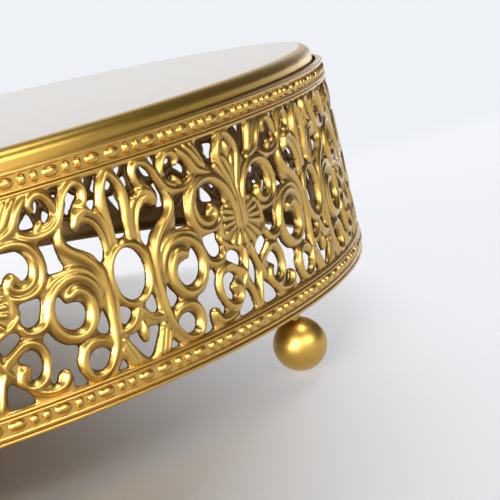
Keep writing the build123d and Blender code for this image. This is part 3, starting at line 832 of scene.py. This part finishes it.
print(len(feet), "feet,", round(radius * 2 / MM, 2), "mm across")

# %% [markdown]
# ## Writing materials as sums
#
# A material is a small network of nodes. The class below wraps an output socket
# so that a sum written in Python adds the Math nodes for it, and one method adds
# any other node from its type, its settings and its sockets.

# %% Node helpers
class Wire:
    """An output socket that can be used in Python sums."""

    def __init__(self, bench, socket):
        self.bench, self.socket = bench, socket

    def _join(self, operation, *values):
        return self.bench.node("ShaderNodeMath", {"operation": operation}, dict(enumerate(values)))

    def __add__(self, other): return self._join("ADD", self, other)
    def __sub__(self, other): return self._join("SUBTRACT", self, other)
    def __mul__(self, other): return self._join("MULTIPLY", self, other)
    def __rsub__(self, other): return self._join("SUBTRACT", other, self)
    __radd__ = __add__
    __rmul__ = __mul__

    def kept(self):
        """Clamped between 0 and 1."""
        return self.bench.node("ShaderNodeClamp", {}, {"Value": self})

    def beside(self, name):
        """Another output of the same node."""
        return Wire(self.bench, self.socket.node.outputs[name])


class Bench:
    """Where one material's nodes are put together."""

    def __init__(self, name):
        self.material = bpy.data.materials.new(name)
        self.material.use_nodes = True
        self.tree = self.material.node_tree
        self.shader = self.tree.nodes["Principled BSDF"]

    def node(self, kind, settings=None, sockets=None, out=0):
        """Add a node: its settings first, then values or links; give back one output."""
        made = self.tree.nodes.new(kind)
        for key, value in (settings or {}).items():
            setattr(made, key, value)
        self.fill(made, sockets or {})
        return Wire(self, made.outputs[out])

    def fill(self, made, sockets):
        """Set or link a node's input sockets."""
        for key, value in sockets.items():
            if isinstance(value, Wire):
                self.tree.links.new(value.socket, made.inputs[key])
            else:
                made.inputs[key].default_value = value

    def mix(self, factor, a, b):
        """Blend two colours."""
        return self.node("ShaderNodeMix", {"data_type": "RGBA", "clamp_factor": True},
                         {0: factor, 6: a, 7: b}, out=2)


# %% [markdown]
# ## Gold paint under clear lacquer
#
# The stand isn't plated: it is sprayed with gold metallic paint, a layer of fine
# bronze flakes that scatters the light into a satin glow, and then lacquered.
# The flakes are metallic with a broad highlight, a fine grain of noise tilts
# them, and the lacquer is a smooth coat that turns white at a glancing angle.
# The paint is darkened in the hollows of the relief, along its cut edges and on
# its back, as painted shade.

# %% Gold finishes
FLAKE_SCALE, CLOUD_SCALE = 2600.0, 45.0  # cells of noise to the metre
LIGHTER, DARKER = 1.12, 0.86  # how far the flakes stray from the paint's colour
SHADE_FROM, SHADE_GAIN, SHADE_SHARE = 0.35, 1.6, 0.85  # how the painted shade mark darkens the paint


def gold(name, colour=(0.61, 0.375, 0.075), shade_colour=(0.09, 0.042, 0.006), roughness=0.32,
         coat=0.25, haze=0.25, grain=0.02, shade_hollows=True):
    """Gold paint: the lacquer's weight and haze, the flakes' grain, painted shade in the hollows or
    none.
    """
    bench = Bench(name)
    place = bench.node("ShaderNodeTexCoord", out=3)
    flakes = bench.node("ShaderNodeTexNoise", {"noise_dimensions": "3D"},
                        {"Vector": place, "Scale": FLAKE_SCALE, "Detail": 2.0, "Roughness": 0.6})
    clouds = bench.node("ShaderNodeTexNoise", {"noise_dimensions": "3D"},
                        {"Vector": place, "Scale": CLOUD_SCALE, "Detail": 3.0})
    light = (*(min(1, c * LIGHTER) for c in colour), 1)
    dark = (*(c * DARKER for c in colour), 1)
    base = bench.mix((flakes * 0.7 + clouds * 0.5 - 0.1).kept(), dark, light)
    if shade_hollows:
        # painted shade: the hollow mark mixes the paint towards the dark shade colour
        painted_shade = bench.node("ShaderNodeAttribute", {"attribute_name": "painted_shade"}, out=2)
        shade_amount = ((painted_shade - SHADE_FROM) * SHADE_GAIN).kept()
        base = bench.mix(shade_amount * SHADE_SHARE, base, (*shade_colour, 1))
    bump = bench.node("ShaderNodeBump", {}, {"Strength": grain * 10, "Distance": 0.02 * MM,
                                             "Height": flakes})
    bench.fill(bench.shader, {
        "Base Color": base, "Metallic": 1.0,
        "Roughness": (roughness - 0.04 + flakes * 0.08).kept(),
        "Coat Weight": coat, "Coat Roughness": haze, "Coat IOR": 1.5, "Normal": bump})
    return bench.material


strip_gold = gold("strip_gold", roughness=0.34, coat=0.7)
top_gold = gold("top_gold", roughness=0.34, coat=1.0, haze=0.12, shade_hollows=False)
rim_gold = gold("rim_gold", roughness=0.33, coat=0.15, grain=0.05, shade_hollows=False)
ball_gold = gold("ball_gold", roughness=0.38, coat=0.35, grain=0.01, shade_hollows=False)


def finish(material, slot_name, *some):
    """Give pieces a material. The name of their slot is not used."""
    for piece in some:
        piece.data.materials.clear()
        piece.data.materials.append(material)


finish(strip_gold, "banding", *openwork)
finish(strip_gold, "banding", lower_border, upper_border, lower_beads, upper_beads, base_ring)
finish(top_gold, "top", top_disc)
finish(rim_gold, "top", rolled_rim)
finish(ball_gold, "feet", *feet)
print("gold finishes:", [m.name for m in (strip_gold, top_gold, rim_gold, ball_gold)])

# %% [markdown]
# ## Turned steel studs
#
# The short studs between balls and ring are turned steel, passivated to a dull
# yellow. Fine rings left by the cutting tool run round them. They could be cut
# into the mesh, but they are far finer than the stud, so they are a noise that
# is stretched across the stud's axis and feeds the colour, sheen and bump.

# %% Steel finish
bench = Bench("turned_steel")
place = bench.node("ShaderNodeTexCoord", out=3)
stretched = bench.node("ShaderNodeMapping", {}, {"Vector": place, "Scale": (150.0, 150.0, 9000.0)})
rings = bench.node("ShaderNodeTexNoise", {}, {"Vector": stretched, "Scale": 1.0, "Detail": 2.0})
grooves = bench.node("ShaderNodeBump", {}, {"Strength": 0.4, "Distance": 0.03 * MM,
                                            "Height": rings})
bench.fill(bench.shader, {
    "Base Color": bench.mix(rings, (0.30, 0.20, 0.07, 1), (0.46, 0.32, 0.12, 1)), "Metallic": 1.0,
    "Roughness": 0.24 + rings * 0.18, "Normal": grooves})
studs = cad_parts["foot_studs"]
for slot in studs.material_slots:
    slot.material = bench.material
print(len(studs.material_slots), "slot of the studs in", bench.material.name)

# %% [markdown]
# ## Floor and backdrop
#
# A pale sheet runs from the table up behind the stand in one sweep, so there is
# no horizon. A flat floor and a wall would do, but their corner would show as a
# line, so the sheet is bent through a quarter circle between them.

# %% Sweep
FLOOR_END, BEND, SWEEP_TOP = 1.1, 0.7, 2.6
SWEEP_SIDE = 15.0  # how far the sheet goes to the front and the sides
quarter = np.linspace(0, pi / 2, 25)[1:]
section = [(-SWEEP_SIDE, 0.0), (FLOOR_END, 0.0)]
section += [(FLOOR_END + BEND * sin(t), BEND * (1 - cos(t))) for t in quarter]
section += [(FLOOR_END + BEND, SWEEP_TOP)]
n = len(section)
mesh = bpy.data.meshes.new("sweep")
mesh.from_pydata([(x, y, z) for x in (-SWEEP_SIDE, SWEEP_SIDE) for y, z in section], [],
                 [(k, k + n, k + n + 1, k + 1) for k in range(n - 1)])
mesh.shade_smooth()
sweep = put("sweep", mesh)
print("sweep of", len(mesh.polygons), "faces")

# %% [markdown]
# ## Paper that glows where it is looked at
#
# The sheet is matt paper. Its far parts could be evened out with more lamps, but
# those would wash out the gold, so a glow is mixed in behind and beside the stand
# instead. Only what looks straight at the sheet, or sees it mirrored, meets that
# glow. In a mirror it dies away to the far right, which gives the turned rim its
# dark line.

# %% Paper
paper = Bench("paper")
spot = paper.node("ShaderNodeTexCoord", out=3)
speckle = paper.node("ShaderNodeTexNoise", {}, {"Vector": spot, "Scale": 14.0, "Detail": 4.0})
paper.fill(paper.shader, {
    "Base Color": paper.mix(speckle, (0.84, 0.85, 0.88, 1), (0.87, 0.88, 0.91, 1)),
    "Roughness": 0.7, "Specular IOR Level": 0.2})


def fading(value, start, end):
    """From 0 at the start to 1 at the end, without a visible beginning."""
    return paper.node("ShaderNodeMapRange", {"interpolation_type": "SMOOTHSTEP"},
                      {"Value": value, "From Min": start, "From Max": end})


across = paper.node("ShaderNodeSeparateXYZ", {}, {0: spot})
away = across.beside("Y")
# painted light: beside the stand the glow lightens the stand's shadow on the sheet
beside_stand, behind_stand = fading(across, 0.02, 0.15), fading(away, 0.1, 0.6)
far_right = fading(across - away * 0.5, 0.15, 0.6)
straight = paper.node("ShaderNodeLightPath")
mirrored = straight.beside("Is Glossy Ray") + straight.beside("Is Transmission Ray")
seen = (straight + mirrored * (1 - far_right)).kept()
glow = paper.node("ShaderNodeEmission", {}, {"Color": (0.86, 0.88, 0.92, 1), "Strength": 1.0})
blend = paper.node("ShaderNodeMixShader", {}, {
    0: (beside_stand * 0.75 + behind_stand).kept() * seen,
    1: Wire(paper, paper.shader.outputs[0]), 2: glow})
paper.fill(paper.tree.nodes["Material Output"], {"Surface": blend})
mesh.materials.append(paper.material)
print("paper of", len(paper.tree.nodes), "nodes")

# %% [markdown]
# ## Lamps
#
# Polished things and the table they stand on seldom look right under the same
# lamp. So one pair lights the table: a large one at the back right, which throws
# the broad soft shadow to the front left, and a warm one that fills it. Four soft
# boxes light the gold: they draw one highlight along the crests, one over the
# balls, one on the top, and the wide glow on the left of the band. The flat top is
# a mirror for whoever walks round the stand, so the two in front are kept off it,
# and three dim walls of light are there for it alone.

# %% Lamps
def softbox(name, place, aim, size, watts, tint=(1, 1, 1)):
    """A flat lamp of a width and height in metres that is turned to look at its aim."""
    lamp = bpy.data.lights.new(name, "AREA")
    lamp.shape, lamp.size, lamp.size_y = "RECTANGLE", size[0], size[1]
    lamp.energy, lamp.color = watts, tint
    holder = put(name, lamp)
    holder.location = place
    holder.rotation_euler = (Vector(aim) - Vector(place)).to_track_quat("-Z", "Y").to_euler()
    return holder


table_lamps = [
    softbox("key_back_right", (0.78, 1.55, 0.88), (0.10, -0.15, 0.0), (1.3, 1.1), 78),
    softbox("fill_front", (-0.7, -1.0, 0.7), (0.0, -0.12, 0.0), (1.2, 0.8), 6, (1, 0.90, 0.80))]
gold_lamps = [
    softbox("ceiling", (0.0, -0.05, 2.4), (0.0, -0.05, 0.0), (1.6, 1.6), 5),
    softbox("overhead", (0.42, -0.40, 1.15), (0.05, -0.1, 0.0), (0.4, 0.4), 4.2),
    softbox("front_wide", (0.40, -1.15, 0.38), (0.02, -0.12, 0.04), (1.1, 0.4), 10,
            (1, 0.97, 0.93)),
    softbox("front_left", (-0.85, -0.95, 0.38), (0.0, -0.12, 0.04), (1.1, 0.7), 36)]
WALL_AWAY, WALL_HEIGHT = 2.3, 0.95
top_lamps = [
    softbox(name, (WALL_AWAY * cos(side), WALL_AWAY * sin(side), WALL_HEIGHT), (0.0, 0.0, 0.05),
            (3.6, 1.8), 8)
    for name, side in (("left_wall", pi), ("front_wall", 1.5 * pi), ("right_wall", 0.0))]
for lamp in table_lamps:
    lamp.visible_glossy = False  # flagged off the gold
for lamp in gold_lamps + top_lamps:
    lamp.visible_diffuse = False  # flagged off the table
only_top = bpy.data.collections.new("only_top")
all_but_top = bpy.data.collections.new("all_but_top")
front_lamps = gold_lamps[2:]
for group, lamps in ((only_top, top_lamps), (all_but_top, front_lamps)):
    group.objects.link(top_disc)
    for lamp in lamps:
        lamp.light_linking.receiver_collection = group
all_but_top.collection_objects[0].light_linking.link_state = "EXCLUDE"
print(len(table_lamps), "lamps for the table,", len(gold_lamps), "for the gold,",
      len(top_lamps), "for the top alone")

# %% [markdown]
# ## The room around
#
# Past the sheet there is only the world. A bright one would light the gold from
# all sides and flatten it, and a black one would leave a dark horizon when the
# stand is looked at from behind. So it gives a dim, cool light to everything and
# shows a pale tone to the camera alone.

# %% World
world = bpy.context.scene.world or bpy.data.worlds.new("studio")
bpy.context.scene.world = world
world.use_nodes = True
nodes, links = world.node_tree.nodes, world.node_tree.links
dim = nodes["Background"]
dim.inputs["Color"].default_value = (0.93, 0.95, 1.0, 1)
dim.inputs["Strength"].default_value = 0.07
pale = nodes.new("ShaderNodeBackground")
pale.inputs["Color"].default_value = (0.80, 0.82, 0.86, 1)
ray = nodes.new("ShaderNodeLightPath")
either = nodes.new("ShaderNodeMixShader")
for start, end in ((ray.outputs["Is Camera Ray"], either.inputs[0]),
                   (dim.outputs[0], either.inputs[1]), (pale.outputs[0], either.inputs[2]),
                   (either.outputs[0], nodes["World Output"].inputs["Surface"])):
    links.new(start, end)
bpy.context.scene.view_settings.view_transform = "Standard"
print("world of", len(nodes), "nodes")
